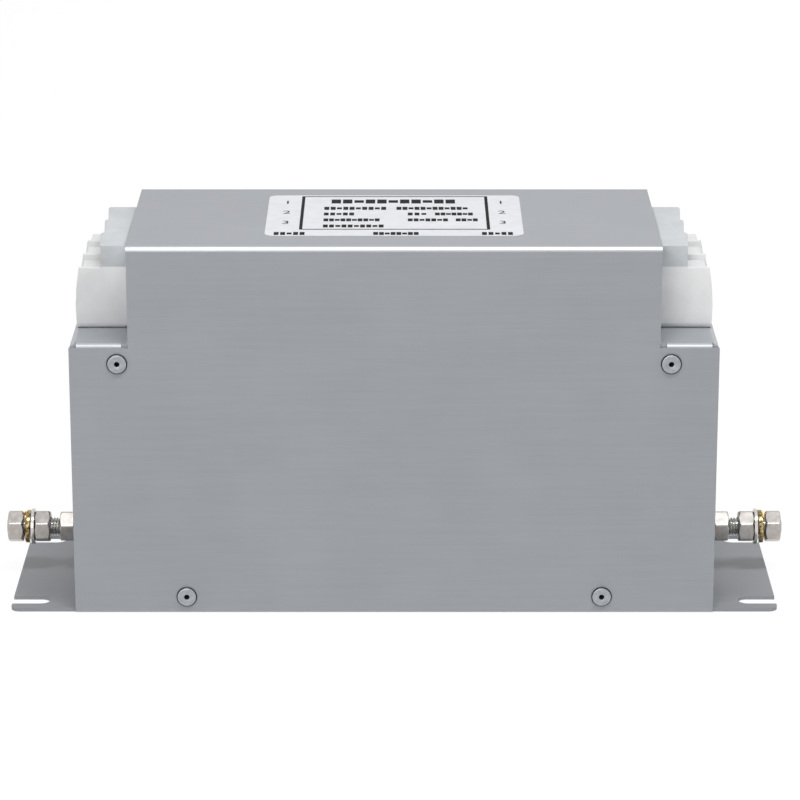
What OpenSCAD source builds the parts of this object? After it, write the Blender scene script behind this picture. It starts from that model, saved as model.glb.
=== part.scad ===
// Three-line EMI filter: a stepped sheet metal case with a terminal block on each shelf
// and an earth stud in each end wall. X runs from the line end to the load end, the front
// faces -Y and the case stands on Z = 0, centred on the origin.

/* [Case] */
// Length of the case over its end walls
body_w = 280; // [240:1:360]
// Depth of the case over its cover
body_d = 105; // [100:1:140]
// Height of the case over its top
body_h = 166; // [164:1:220]
// Height of the raised middle part over the shelves
raised_h = 43.5; // [42:0.5:50]
// Length of the raised middle part
raised_w = 229; // [222:1:232]
// Thickness of the cover's sheet
cover_t = 1.2; // [0.8:0.1:1.6]
// Thickness of the base plate and of the end brackets
sheet_t = 1.5; // [1:0.1:2]
// Inner radius of every fold
fold_r = 1.2; // [0.8:0.1:1.6]
// Gap between the cover and what it closes over
cover_gap = 0.1; // [0.05:0.05:0.3]
// Height of the cover's lower edge over the mounting surface
cover_lift = 0.3; // [0.1:0.1:0.6]

/* [Feet] */
// How far each foot stands out of the end wall
foot_reach = 28.7; // [24:0.1:36]
// Radius of the feet's corners
foot_corner_r = 4; // [1:0.5:8]
// Width of the open-ended fixing slots
slot_w = 9; // [5:0.1:12]
// Distance between the slots' round ends along X, centre to centre
slot_span_x = 313; // [306:1:316]
// Distance between the slots along Y
slot_span_y = 81; // [60:1:84]
// Height of the base plate's upturned flanges
flange_h = 15; // [12:0.5:24]
// Length of the base plate's upturned flanges
flange_l = 210; // [196:1:216]
// Length of the bracket's inner flanges, bottom and top
inner_flange_l = 16; // [12:1:20]
// Depth of the tabs folded down from the shelf
tab_h = 18; // [14:0.5:24]

/* [Rivets] */
// Shank diameter of the blind rivets
rivet_d = 4; // [3:0.1:5]
// Head diameter of the blind rivets
rivet_head_d = 9; // [7:0.1:10]
// Head height of the blind rivets
rivet_head_h = 1.1; // [0.6:0.1:1.6]
// Distance of the upper rivets below the shelf
rivet_drop = 8.5; // [7:0.5:10]
// Distance of the upper rivets outside the raised part
rivet_out = 4.8; // [4.5:0.1:8]
// Height of the lower rivets
rivet_low_z = 7.5; // [7:0.1:8]
// Distance between the two lower rivets
rivet_low_span = 182; // [150:1:188]

/* [Label] */
// Length of the rating label
label_l = 112; // [80:1:140]
// Depth of the rating label
label_d = 72; // [50:1:80]
// Thickness of the rating label
label_t = 0.2; // [0.1:0.05:0.4]
// Radius of the label's corners
label_r = 4; // [1:0.5:8]
// Offset of the label's middle towards the back
label_y = 2.3; // [-5:0.1:5]

/* [Terminals] */
// Distance from one pole to the next
pole_pitch = 23; // [21:0.5:24]
// Distance from the last pole to the cover's back
block_back = 10; // [8:0.5:14]
// Length of the pole housings out from the raised wall
housing_l = 21.5; // [20:0.1:22]
// Height of the pole housings over the shelf
housing_h = 26; // [25:0.5:27]
// Radius of the housings' upper edges
housing_r = 6; // [2:0.5:8]
// Thickness of the parting fin on each housing
fin_t = 2.5; // [1.5:0.1:3]
// Length of the parting fin out from the raised wall
fin_l = 24.2; // [22.6:0.1:25]
// How far the fin stands over the housing
fin_rise = 1.2; // [0.4:0.1:3]
// Radius of the fin's bulging outer edge
fin_bulge_r = 100; // [80:5:200]
// Diameter of the wire entries
wire_d = 11; // [9:0.1:12]
// Height of the wire entries' axis over the shelf
wire_z = 10.5; // [10:0.1:11]
// Diameter of the wire entries' funnels
funnel_d = 15; // [13:0.1:16]
// Depth of the wire entries' funnels
funnel_l = 2.5; // [1:0.1:4]
// Diameter of the screwdriver shafts
shaft_d = 8.6; // [8.2:0.1:9.4]
// Height of the collar on each housing that the touch guard stands on
collar_h = 1.9; // [1.2:0.1:2.4]
// Length of the collar out from the raised wall
collar_l = 12.9; // [12.5:0.1:15]
// Gap between the touch guard and the raised wall
guard_gap = 1.4; // [1:0.1:3]
// Height of the touch guard's top over the shelf
guard_h = 37.2; // [34:0.1:39]
// Thickness of the touch guard's walls
guard_t = 1.6; // [1.2:0.1:2]
// How far each pole's part of the guard flares out towards the back
guard_flare = 1.6; // [0.2:0.1:2]
// Radius of the touch guard's upper edges
guard_r = 1.2; // [0.5:0.1:3]

/* [Clamps] */
// Length of the clamp cages along the wire
cage_l = 10.5; // [9:0.1:11]
// Width of the clamp cages
cage_w = 13; // [12.5:0.1:14]
// Wall thickness of the clamp cages
cage_t = 2; // [1.5:0.1:2.2]
// Height of the clamp cages
cage_h = 17; // [16.5:0.1:17.5]
// Height of the cages' underside over the shelf
cage_z = 4; // [3.5:0.1:4.2]
// Thread diameter of the clamp screws
clamp_screw_d = 6; // [5:0.1:6]
// Width of the feed-through bars
bar_w = 8; // [6:0.1:8.4]
// Thickness of the feed-through bars
bar_t = 3; // [2:0.1:3.2]
// Length of the feed-through bars inside the raised wall
bar_inner_l = 24; // [22:0.5:28]

/* [Earth studs] */
// Thread diameter of the earth studs
stud_d = 8; // [6:0.5:8.5]
// Height of the earth studs
stud_z = 22; // [20:0.1:26]
// Length of the earth studs out of the end wall
stud_l = 34.6; // [34:0.1:40]
// Width across the flats of the nuts
nut_af = 13; // [12:0.1:14]
// Height of the nuts
nut_h = 6.8; // [5:0.1:7]
// Turn of the nuts about the stud, from a corner on top towards the front
nut_turn = 3; // [0:1:60]
// Diameter of the plain washers
washer_d = 16; // [14:0.1:18]
// Thickness of the plain washers
washer_t = 1.6; // [1:0.1:1.8]
// Diameter of the spring washers
spring_d = 14.8; // [13:0.1:15.5]
// Thickness of the spring washers' wire
spring_t = 2; // [1.6:0.1:2.2]
// Height of the slack spring washer
spring_free_h = 3.6; // [2.6:0.1:3.8]
// Bare thread between the inner and the middle nut
bare_l = 4.6; // [2:0.1:4.8]

/* [Choke] */
// Clearance between the windings and the liner
choke_gap = 2; // [1:0.5:8]
// Radial width of the choke's ring core
core_ring = 16; // [12:0.5:18]
// Height of the choke's ring core
core_h = 30; // [24:1:32]
// Wall of the core's plastic case
core_case_t = 2; // [1:0.1:2.4]
// Diameter of the winding wire
winding_d = 3.4; // [2.5:0.1:3.6]
// Turns of each winding
winding_turns = 6; // [3:1:6]
// Angle that one turn takes up
turn_angle = 14; // [13:0.5:15]

/* [Circuit board] */
// Height of the circuit board's underside
board_z = 64; // [60:1:68]
// Thickness of the circuit board
board_t = 1.6; // [1:0.1:2.4]
// Length of the circuit board
board_l = 212; // [208:1:214]
// Width of the circuit board
board_w = 88; // [86:1:92]
// Length of the X capacitors
xcap_l = 41.5; // [36:0.5:42]
// Width of the X capacitors
xcap_w = 24; // [18:0.5:26]
// Height of the X capacitors
xcap_h = 40; // [30:1:48]

/* [Hidden] */
$fn = 48;

// Colours
zinc_sheet = [0.66, 0.68, 0.70];
zinc_part = [0.74, 0.73, 0.72];
chromate = [0.80, 0.66, 0.36];
white_nylon = [0.93, 0.94, 0.94];
grey_nylon = [0.80, 0.82, 0.84];
copper = [0.78, 0.48, 0.32];

// Sheet metal
outer_r = fold_r + sheet_t;
cover_outer_r = fold_r + cover_t;
inner_d = body_d - 2 * (cover_t + cover_gap);
raised_x = raised_w / 2 - 0.2;
shelf_h = body_h - raised_h;
end_x = body_w / 2;
bracket_top = body_h - cover_t - cover_gap;
tip_x = end_x + foot_reach;
cover_shelf_z = shelf_h - outer_r * 0.55;

// Rivet places: [x, z] on the front, taken over to the back
rivet_hole_d = rivet_d + 0.1;
rivet_bulge_d = rivet_d * 1.5;
drill_over = 5;
upper_rivet_x = raised_w / 2 + rivet_out;
upper_rivet_z = shelf_h - rivet_drop;
rivet_places = [
    [-upper_rivet_x, upper_rivet_z], [upper_rivet_x, upper_rivet_z],
    [-rivet_low_span / 2, rivet_low_z], [rivet_low_span / 2, rivet_low_z]
];

// Terminal block: u runs out from the raised wall, v from the block's front, w up from the shelf
poles = 3;
block_l = poles * pole_pitch;
block_y = body_d / 2 - block_back - block_l;
seat_gap = 0.2;
cell_v = (pole_pitch + fin_t) / 2;
cage_u = 2;
screw_u = cage_u + cage_l / 2;
cage_gap = 0.25;
cage_top_t = 3.5;
bar_z = cage_z + cage_h - cage_top_t - bar_t;
bar_hole_d = 4.3;
spigot_w = 15;
spigot_h = 17;
spigot_z = 4;
spigot_l = 12;
window_gap = 0.3;
retainer_t = 2;
guard_plug_d = shaft_d - 0.2;
guard_plug_l = 3;
guard_z = housing_h + collar_h;
screw_head_d = 7.8;
screw_head_h = 3.2;

// Earth stud stack, measured out from the end wall
wall_washer_x = end_x;
lock_washer_x = wall_washer_x + washer_t;
lock_washer_t = 2.2;
inner_nut_x = lock_washer_x + lock_washer_t;
middle_nut_x = inner_nut_x + nut_h + bare_l;
plain_washer_x = middle_nut_x + nut_h;
spring_washer_x = plain_washer_x + washer_t;
spring_split_at = 60;
outer_nut_x = spring_washer_x + spring_free_h;
thread_gap = 0.05;
stud_head_h = 5.3;

// Inside
liner_t = 0.5;
liner_gap = 0.3;
liner_h = 56;
liner_z = sheet_t;
choke_base_t = 5;
choke_base_w = 76;
choke_base_r = 6;
choke_z = liner_z + liner_t + choke_base_t + winding_d + 1.2;
winding_lift = 0.3;
core_od = inner_d - 2 * (outer_r + liner_gap + liner_t + choke_gap + winding_d + winding_lift + core_case_t);
core_id = core_od - 2 * core_ring;
case_od = core_od + 2 * core_case_t;
case_id = core_id - 2 * core_case_t;
case_h = core_h + 2 * core_case_t;
choke_bolt_d = 6;
seat_d = 7;
disc_t = 3;
disc_z = choke_z + case_h + winding_d + 1.2;
spacer_d = 7;
stub_d = 3.3;
spacer_x = board_l / 2 - 8;
spacer_y = board_w / 2 - 6;
board_top = board_z + board_t;
ycap_l = 26.5;
ycap_w = 12;
ycap_h = 22;
board_screw_d = 3;
board_hole_d = 3.2;
resistor_x = ycap_w / 2 + 14;
resistor_pitch = 26;
link_t = 2;
link_flange_l = 8;

// Quarter of a ring in the first quadrant, for a fold of inner radius r in sheet t
module fold_2d(r, t) {
    intersection() {
        difference() {
            circle(r = r + t);
            circle(r = r);
        }
        square(r + t);
    }
}

// Rectangle with its lower left corner at the origin and round corners
module round_rect(l, w, r) {
    translate([r, 0]) square([l - 2 * r, w]);
    translate([0, r]) square([l, w - 2 * r]);
    for (x = [r, l - r]) {
        for (y = [r, w - r]) {
            translate([x, y]) circle(r = r);
        }
    }
}

// Stands a drawing of (y, z) up so that it is extruded along +X by l
module along_x(l) {
    rotate([90, 0, 90]) linear_extrude(l) children();
}

// Stands a drawing of (x, z) up so that it is extruded along Y, centred, by l
module along_y(l) {
    translate([0, l / 2, 0]) rotate([90, 0, 0]) linear_extrude(l) children();
}

// Places children on the line end by mirroring what is drawn for the load end
module at_end(side) {
    mirror([side == "line" ? 1 : 0, 0, 0]) children();
}

// Cylinder from x0 along +X
module rod_x(x0, l, d) {
    translate([x0, 0, 0]) rotate([0, 90, 0]) cylinder(h = l, d = d);
}

// ---- Case ----

module foot_slots_2d() {
    for (sx = [-1, 1]) {
        for (sy = [-1, 1]) {
            translate([sx * slot_span_x / 2, sy * slot_span_y / 2]) circle(d = slot_w);
            translate([sx > 0 ? slot_span_x / 2 : -tip_x - 1, sy * slot_span_y / 2 - slot_w / 2])
                square([tip_x + 1 - slot_span_x / 2, slot_w]);
        }
    }
}

// Middle of the base plate over (y, z): the plate with an upturned flange on either side
module base_profile_2d() {
    half = inner_d / 2;
    translate([-half + outer_r, 0]) square([inner_d - 2 * outer_r, sheet_t]);
    for (m = [0, 1]) {
        mirror([m, 0]) {
            translate([half - outer_r, outer_r]) mirror([0, 1]) fold_2d(fold_r, sheet_t);
            translate([half - sheet_t, outer_r]) square([sheet_t, flange_h - outer_r]);
        }
    }
}

module base_plate() {
    relief = 2;
    color(zinc_sheet) difference() {
        union() {
            linear_extrude(sheet_t) difference() {
                translate([-tip_x, -inner_d / 2]) round_rect(2 * tip_x, inner_d, foot_corner_r);
                foot_slots_2d();
                for (sy = [-1, 1]) {
                    translate([-flange_l / 2 - relief, sy * (inner_d / 2 - outer_r / 2) - outer_r / 2])
                        square([flange_l + 2 * relief, outer_r]);
                }
            }
            translate([-flange_l / 2, 0, 0]) along_x(flange_l) base_profile_2d();
        }
        rivet_holes();
        inside_holes();
    }
}

// Holes for the choke bolt and the board's spacers
module inside_holes() {
    translate([0, 0, -1]) cylinder(h = sheet_t + 2, d = choke_bolt_d + 0.1);
    spacer_places() translate([0, 0, -1]) cylinder(h = sheet_t + 2, d = stub_d + 0.1);
}

module cover_profile_2d() {
    half = body_d / 2;
    translate([-half + cover_outer_r, body_h - cover_t]) square([body_d - 2 * cover_outer_r, cover_t]);
    for (m = [0, 1]) {
        mirror([m, 0]) {
            translate([half - cover_outer_r, body_h - cover_outer_r]) fold_2d(fold_r, cover_t);
            translate([half - cover_t, cover_lift])
                square([cover_t, body_h - cover_outer_r - cover_lift]);
        }
    }
}

module cover() {
    far = body_w;
    color(zinc_sheet) difference() {
        translate([-body_w / 2, 0, 0]) along_x(body_w) cover_profile_2d();
        for (s = [-1, 1]) {
            translate([s > 0 ? raised_w / 2 : -raised_w / 2 - far, -body_d, cover_shelf_z])
                cube([far, 2 * body_d, body_h]);
        }
        rivet_holes();
    }
}

module rivet_holes() {
    for (p = rivet_places) {
        translate([p[0], body_d / 2 + drill_over, p[1]])
            rotate([90, 0, 0]) cylinder(h = body_d + 2 * drill_over, d = rivet_hole_d);
    }
}

// The folded strip seen from the front: bottom flange, end wall, shelf, raised wall, top flange
module bracket_profile_2d() {
    z0 = sheet_t;
    translate([end_x - inner_flange_l, z0]) square([inner_flange_l - outer_r, sheet_t]);
    translate([end_x - outer_r, z0 + outer_r]) mirror([0, 1]) fold_2d(fold_r, sheet_t);
    translate([end_x - sheet_t, z0 + outer_r]) square([sheet_t, shelf_h - z0 - 2 * outer_r]);
    translate([end_x - outer_r, shelf_h - outer_r]) fold_2d(fold_r, sheet_t);
    translate([raised_x + fold_r, shelf_h - sheet_t])
        square([end_x - raised_x - fold_r - outer_r, sheet_t]);
    translate([raised_x + fold_r, shelf_h + fold_r]) rotate(180) fold_2d(fold_r, sheet_t);
    translate([raised_x - sheet_t, shelf_h + fold_r])
        square([sheet_t, bracket_top - shelf_h - fold_r - outer_r]);
    translate([raised_x - outer_r, bracket_top - outer_r]) fold_2d(fold_r, sheet_t);
    translate([raised_x - inner_flange_l, bracket_top - sheet_t])
        square([inner_flange_l - outer_r, sheet_t]);
}

// Tab folded down from the shelf's front edge, which the cover is riveted to
module shelf_tab() {
    relief = 0.3;
    x0 = raised_x + outer_r + relief;
    l = end_x - outer_r - relief - x0;
    translate([x0, -inner_d / 2 + outer_r, shelf_h - outer_r])
        along_x(l) mirror([1, 0]) fold_2d(fold_r, sheet_t);
    translate([x0, -inner_d / 2, shelf_h - tab_h]) cube([l, sheet_t, tab_h - outer_r]);
}

module end_bracket(side) {
    tab_x = raised_x + outer_r;
    color(zinc_sheet) at_end(side) difference() {
        union() {
            difference() {
                along_y(inner_d) bracket_profile_2d();
                for (m = [0, 1]) {
                    mirror([0, m, 0])
                        translate([tab_x, -inner_d / 2 - 1, shelf_h - outer_r])
                        cube([end_x - outer_r - tab_x, outer_r + 1, outer_r + 1]);
                    // clears the cover's fold
                    mirror([0, m, 0])
                        translate([raised_x - inner_flange_l - 1, -inner_d / 2 - 1, bracket_top - fold_r])
                        cube([inner_flange_l + 2, fold_r + 1, fold_r + 1]);
                }
            }
            for (m = [0, 1]) {
                mirror([0, m, 0]) shelf_tab();
            }
        }
        for (i = [0 : poles - 1]) {
            translate([raised_x - sheet_t - 1, block_y + i * pole_pitch + cell_v - spigot_w / 2 - window_gap,
                       shelf_h + spigot_z - window_gap])
                cube([sheet_t + 2, spigot_w + 2 * window_gap, spigot_h + 2 * window_gap]);
        }
        translate([end_x - 5, 0, stud_z]) rotate([0, 90, 0]) cylinder(h = 10, d = stud_d + 0.4);
        rivet_holes();
    }
}

// Blind rivet with its axis on +Z, its head's seat at zero and its shank below
module blind_rivet(grip) {
    bulge_l = rivet_d * 0.7;
    mandrel_d = 2.4;
    recess_l = 3;
    rotate_extrude() difference() {
        union() {
            intersection() {
                square([rivet_head_d / 2, rivet_head_h]);
                translate([0, rivet_head_h - dome_r(rivet_head_d, rivet_head_h)])
                    circle(r = dome_r(rivet_head_d, rivet_head_h), $fn = 120);
            }
            translate([0, -grip - bulge_l]) square([rivet_d / 2, grip + bulge_l + 0.2]);
            translate([0, -grip - bulge_l]) square([rivet_bulge_d / 2, bulge_l]);
        }
        translate([0, rivet_head_h - recess_l]) square([mandrel_d / 2, recess_l + 1]);
    }
}

// Radius of the sphere whose cap has diameter d and height a little over h
function dome_r(d, h) = (d * d / 4 + h * h * 0.64) / (2 * h * 0.8);

module rivets(facing) {
    grip = cover_t + cover_gap + sheet_t;
    color(zinc_part) for (p = rivet_places) {
        translate([p[0], facing * body_d / 2, p[1]])
            rotate([facing > 0 ? -90 : 90, 0, 0]) blind_rivet(grip);
    }
}

module rating_label() {
    color("white") translate([-label_l / 2, label_y - label_d / 2, body_h])
        linear_extrude(label_t) round_rect(label_l, label_d, label_r);
}

// ---- Terminals ----

// Moves children from (u, v, w) to the load end's place in the case
module on_shelf() {
    translate([raised_x + seat_gap, block_y, shelf_h]) children();
}

// Cross-section of a housing over (v, w): a tunnel with large upper rounds
module housing_2d() {
    r = housing_r;
    width = pole_pitch;
    square([width, housing_h - r]);
    translate([r, 0]) square([width - 2 * r, housing_h]);
    for (v = [r, width - r]) {
        translate([v, housing_h - r]) circle(r = r);
    }
}

// Outline of the parting fin over (u, w), which stands over the housing outside its collar
module fin_2d() {
    bulge_z = 9;
    intersection() {
        union() {
            square([fin_l, housing_h]);
            translate([collar_l, 0]) square([fin_l - collar_l, housing_h + fin_rise]);
        }
        translate([fin_l - fin_bulge_r, bulge_z]) circle(r = fin_bulge_r, $fn = 360);
    }
}

module pole_housing(side, i) {
    foot_r = fold_r + 0.4;
    color(white_nylon) at_end(side) on_shelf() translate([0, i * pole_pitch, 0]) difference() {
        union() {
            along_x(housing_l) housing_2d();
            cube([collar_l, pole_pitch, guard_z]);
            translate([0, fin_t, 0]) rotate([90, 0, 0]) linear_extrude(fin_t) fin_2d();
            translate([-spigot_l, cell_v - spigot_w / 2, spigot_z])
                cube([spigot_l + 1, spigot_w, spigot_h]);
        }
        // wire entry with its funnel
        translate([0, cell_v, wire_z]) {
            rod_x(cage_u + 1, housing_l, wire_d);
            translate([housing_l - funnel_l, 0, 0]) rotate([0, 90, 0])
                cylinder(h = funnel_l + 0.01, d1 = wire_d, d2 = funnel_d);
        }
        // room for the clamp cage, and the screwdriver shaft over it
        translate([cage_u - cage_gap, cell_v - cage_w / 2 - cage_gap, cage_z - cage_gap])
            cube([cage_l + 2 * cage_gap, cage_w + 2 * cage_gap, cage_h + 2 * cage_gap]);
        translate([screw_u, cell_v, cage_z + cage_h]) cylinder(h = guard_z, d = shaft_d);
        // way in for the feed-through bar
        translate([-spigot_l - 1, cell_v - bar_w / 2 - 0.15, bar_z - 0.15])
            cube([spigot_l + cage_u + 2, bar_w + 0.3, bar_t + 0.3]);
        // clears the fold at the foot of the raised wall
        translate([-0.01, -1, -0.01]) cube([foot_r, pole_pitch + 2, foot_r]);
    }
}

// Plan of the guard over (u, v): its outer side is stepped, one step for each pole
module guard_plan_2d() {
    polygon(concat(
        [[guard_gap, 0]],
        [for (i = [0 : poles - 1]) each [
            [collar_l, i * pole_pitch], [collar_l + guard_flare, (i + 1) * pole_pitch]
        ]],
        [[guard_gap, block_l]]
    ));
}

// Upper edges of the guard over (u, w)
module guard_side_2d() {
    l = collar_l + guard_flare - guard_gap;
    translate([guard_gap, 0]) square([l, guard_h - guard_r]);
    translate([guard_gap + guard_r, 0]) square([l - 2 * guard_r, guard_h]);
    for (u = [guard_r, l - guard_r]) {
        translate([guard_gap + u, guard_h - guard_r]) circle(r = guard_r);
    }
}

// Cap over the screws of one end: hollow from below, with a plug for each screwdriver shaft
module touch_guard(side) {
    roof_z = guard_h - guard_t;
    color(grey_nylon) at_end(side) on_shelf() {
        difference() {
            intersection() {
                translate([0, 0, guard_z]) linear_extrude(guard_h - guard_z) guard_plan_2d();
                translate([0, block_l, 0]) rotate([90, 0, 0]) linear_extrude(block_l) guard_side_2d();
            }
            for (i = [0 : poles - 1]) {
                translate([guard_gap + guard_t, i * pole_pitch + guard_t / 2, guard_z - 1])
                    cube([collar_l - guard_gap - 2 * guard_t, pole_pitch - guard_t, roof_z - guard_z + 1]);
            }
        }
        each_pole() translate([screw_u, 0, guard_z - guard_plug_l])
            cylinder(h = roof_z - guard_z + guard_plug_l + 0.5, d = guard_plug_d);
    }
}

module each_pole() {
    for (i = [0 : poles - 1]) {
        translate([0, i * pole_pitch + cell_v, 0]) children();
    }
}

module clamp_cages(side) {
    color(zinc_part) at_end(side) on_shelf() each_pole() {
        difference() {
            translate([cage_u, -cage_w / 2, cage_z]) cube([cage_l, cage_w, cage_h]);
            translate([cage_u - 1, -cage_w / 2 + cage_t, cage_z + cage_t])
                cube([cage_l + 2, cage_w - 2 * cage_t, bar_z + bar_t + 0.05 - cage_z - cage_t]);
            translate([screw_u, 0, cage_z]) translate([0, 0, cage_t + 1])
                cylinder(h = cage_h, d = clamp_screw_d + 2 * thread_gap);
        }
    }
}

module clamp_screws(side) {
    head_z = cage_z + cage_h + cage_gap;
    slot_wide = 1.2;
    color(zinc_part) at_end(side) on_shelf() each_pole() translate([screw_u, 0, 0]) {
        difference() {
            union() {
                translate([0, 0, bar_z + bar_t + 0.1])
                    cylinder(h = head_z - bar_z - bar_t, d = clamp_screw_d);
                translate([0, 0, head_z]) cylinder(h = screw_head_h, d = screw_head_d);
            }
            translate([-screw_head_d, -slot_wide / 2, head_z + screw_head_h - 1.6])
                cube([2 * screw_head_d, slot_wide, 2]);
        }
    }
}

module feed_bars(side) {
    color(copper) at_end(side) on_shelf() each_pole() difference() {
        translate([-bar_inner_l, -bar_w / 2, bar_z])
            cube([bar_inner_l + cage_u + cage_l - 0.5, bar_w, bar_t]);
        translate([-bar_inner_l + bar_w / 2, 0, bar_z - 1]) cylinder(h = bar_t + 2, d = bar_hole_d);
    }
}

module retaining_plate(side) {
    margin = 4;
    gap = 0.2;
    color("ivory") at_end(side) on_shelf() difference() {
        translate([-seat_gap - sheet_t - retainer_t - 0.1, -margin / 2, spigot_z - margin / 2])
            cube([retainer_t, block_l + margin, spigot_h + margin]);
        for (i = [0 : poles - 1]) {
            translate([-seat_gap - sheet_t - retainer_t - 1, i * pole_pitch + cell_v - spigot_w / 2 - gap,
                       spigot_z - gap])
                cube([retainer_t + 2, spigot_w + 2 * gap, spigot_h + 2 * gap]);
        }
    }
}

// Strap from a feed-through bar down to the circuit board
module links(side) {
    top_z = shelf_h + bar_z;
    color(copper) at_end(side) each_link() {
        translate([0, -bar_w / 2, top_z - link_t]) cube([link_flange_l, bar_w, link_t]);
        translate([0, -bar_w / 2, board_top]) cube([link_t, bar_w, top_z - board_top]);
        translate([link_t - link_flange_l, -bar_w / 2, board_top]) cube([link_flange_l, bar_w, link_t]);
    }
}

module each_link() {
    for (i = [0 : poles - 1]) {
        translate([raised_x + seat_gap - bar_inner_l, block_y + i * pole_pitch + cell_v, 0]) children();
    }
}

// ---- Earth studs ----

module at_stud(side) {
    at_end(side) translate([0, 0, stud_z]) children();
}

// Hexagon along +X with chamfered corners, h high, from x0
module hex_x(x0, h, chamfer_both, turn) {
    across = nut_af / cos(30);
    cone = (across - nut_af) / 2;
    drop = cone * tan(30);
    translate([x0, 0, 0]) rotate([0, 90, 0]) intersection() {
        rotate(180 + turn) cylinder(h = h, d = across, $fn = 6);
        rotate_extrude() polygon([
            [0, 0],
            [chamfer_both ? nut_af / 2 : across / 2 + 1, 0],
            [across / 2 + 0.01, chamfer_both ? drop : 0.01],
            [across / 2 + 0.01, h - drop],
            [nut_af / 2, h],
            [0, h]
        ]);
    }
}

module nut(side, x0, turn) {
    color(zinc_part) at_stud(side) difference() {
        hex_x(x0, nut_h, true, turn);
        rod_x(x0 - 1, nut_h + 2, stud_d + 2 * thread_gap);
    }
}

module washer(side, x0, d, t) {
    color(zinc_part) at_stud(side) difference() {
        rod_x(x0, t, d);
        rod_x(x0 - 1, t + 2, stud_d + 0.4);
    }
}

module earth_stud(side) {
    tip = 1;
    color(zinc_part) at_stud(side) {
        rod_x(end_x - sheet_t - 0.01, sheet_t + stud_l - tip, stud_d);
        translate([end_x + stud_l - tip - 0.01, 0, 0]) rotate([0, 90, 0])
            cylinder(h = tip, d1 = stud_d, d2 = stud_d - 2 * tip);
        mirror([1, 0, 0]) hex_x(-end_x + sheet_t, stud_head_h, false, nut_turn);
    }
}

// Two triangles between neighbouring points p and q of one ring and those n further on
function quad(p, q, n) = [[p, q, q + n], [p, q + n, p + n]];

// Points of one turn of a helical ring with a square section, for the slack spring washer
function spring_ring(a, x) = [
    for (c = [[0, 0], [1, 0], [1, 1], [0, 1]])
        let (r = stud_d / 2 + 0.2 + c[0] * (spring_d - stud_d - 0.4) / 2)
        [x + c[1] * spring_t, r * cos(a), r * sin(a)]
];

module spring_washer(side) {
    steps = 36;
    split = 8;
    rise = spring_free_h - spring_t;
    rings = [
        for (i = [0 : steps])
            spring_ring(spring_split_at + split + i * (360 - 2 * split) / steps, rise * i / steps)
    ];
    points = [for (ring = rings) for (p = ring) p];
    sides = [
        for (i = [0 : steps - 1]) for (j = [0 : 3]) each quad(i * 4 + j, i * 4 + (j + 1) % 4, 4)
    ];
    last = steps * 4;
    caps = [[3, 2, 1, 0], [last, last + 1, last + 2, last + 3]];
    color(chromate) at_stud(side) translate([spring_washer_x, 0, 0])
        polyhedron(points = points, faces = concat(sides, caps));
}

// ---- Inside ----

module insulating_liner() {
    half = inner_d / 2 - outer_r - liner_gap;
    l = rivet_low_span - rivet_bulge_d - 2;
    color("seashell") difference() {
        translate([-l / 2, 0, 0]) along_x(l) {
            translate([-half, liner_z]) square([2 * half, liner_t]);
            for (y = [-half, half - liner_t]) {
                translate([y, liner_z]) square([liner_t, liner_h]);
            }
        }
        cylinder(h = 10, d = choke_bolt_d + 0.4);
    }
}

// Places between the windings where the core's case is held
module at_case_seats() {
    for (k = [0 : 2]) {
        rotate(120 * k + (winding_turns * turn_angle + 120) / 2)
            translate([(case_od + case_id) / 4, 0, 0]) children();
    }
}

module choke_base() {
    base_z = liner_z + liner_t;
    color("dimgray") difference() {
        union() {
            translate([-choke_base_w / 2, -choke_base_w / 2, base_z])
                linear_extrude(choke_base_t) round_rect(choke_base_w, choke_base_w, choke_base_r);
            at_case_seats() translate([0, 0, base_z]) cylinder(h = choke_z - base_z, d = seat_d);
        }
        cylinder(h = choke_z, d = choke_bolt_d + 0.4);
    }
}

module ring(od, id, h) {
    difference() {
        cylinder(h = h, d = od, $fn = 96);
        translate([0, 0, -1]) cylinder(h = h + 2, d = id, $fn = 96);
    }
}

module choke_core() {
    color("darkslategray") translate([0, 0, choke_z + core_case_t]) ring(core_od, core_id, core_h);
}

module choke_case() {
    gap = 0.1;
    color("black") translate([0, 0, choke_z]) difference() {
        ring(case_od, case_id, case_h);
        translate([0, 0, core_case_t - gap]) ring(core_od + 2 * gap, core_id - 2 * gap, core_h + 2 * gap);
    }
}

// Loop of the wire round the case: eight [radial, height] offsets from its section's middle
function loop_points() =
    let (a = (case_od - case_id) / 4 + winding_d / 2 + winding_lift,
         b = case_h / 2 + winding_d / 2 + winding_lift,
         c = winding_d * 0.4)
    [[a, b - c], [a, c - b], [a - c, -b], [c - a, -b], [-a, c - b], [-a, b - c], [c - a, b], [a - c, b]];

// Point of the wire at radius r, angle t and height z
function polar(r, t, z) = [r * cos(t), r * sin(t), z];

// Route of one winding: down from the board, its turns round the case, and up again
function winding_route(t0) =
    let (loop = loop_points(), rc = (case_od + case_id) / 4, zc = choke_z + case_h / 2,
         r_out = rc + loop[0][0], z_top = zc + loop[7][1], t1 = t0 + winding_turns * turn_angle)
    concat(
        [polar(r_out, t0, board_z - 0.1), polar(r_out, t0, z_top + winding_d)],
        [for (n = [0 : winding_turns * 8 - 1])
            polar(rc + loop[n % 8][0], t0 + n * turn_angle / 8, zc + loop[n % 8][1])],
        [polar(r_out, t1, z_top + 2 * winding_d), polar(r_out, t1, board_z - 0.1)]
    );

function unit(v) = v / norm(v);

// Ring of a six-sided tube round point p, square to direction d, with one corner towards up
function tube_ring(p, d, up, r) =
    let (s = unit(cross(d, up)), n = cross(s, d))
    [for (k = [0 : 5]) p + r * (cos(60 * k) * s + sin(60 * k) * n)];

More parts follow.
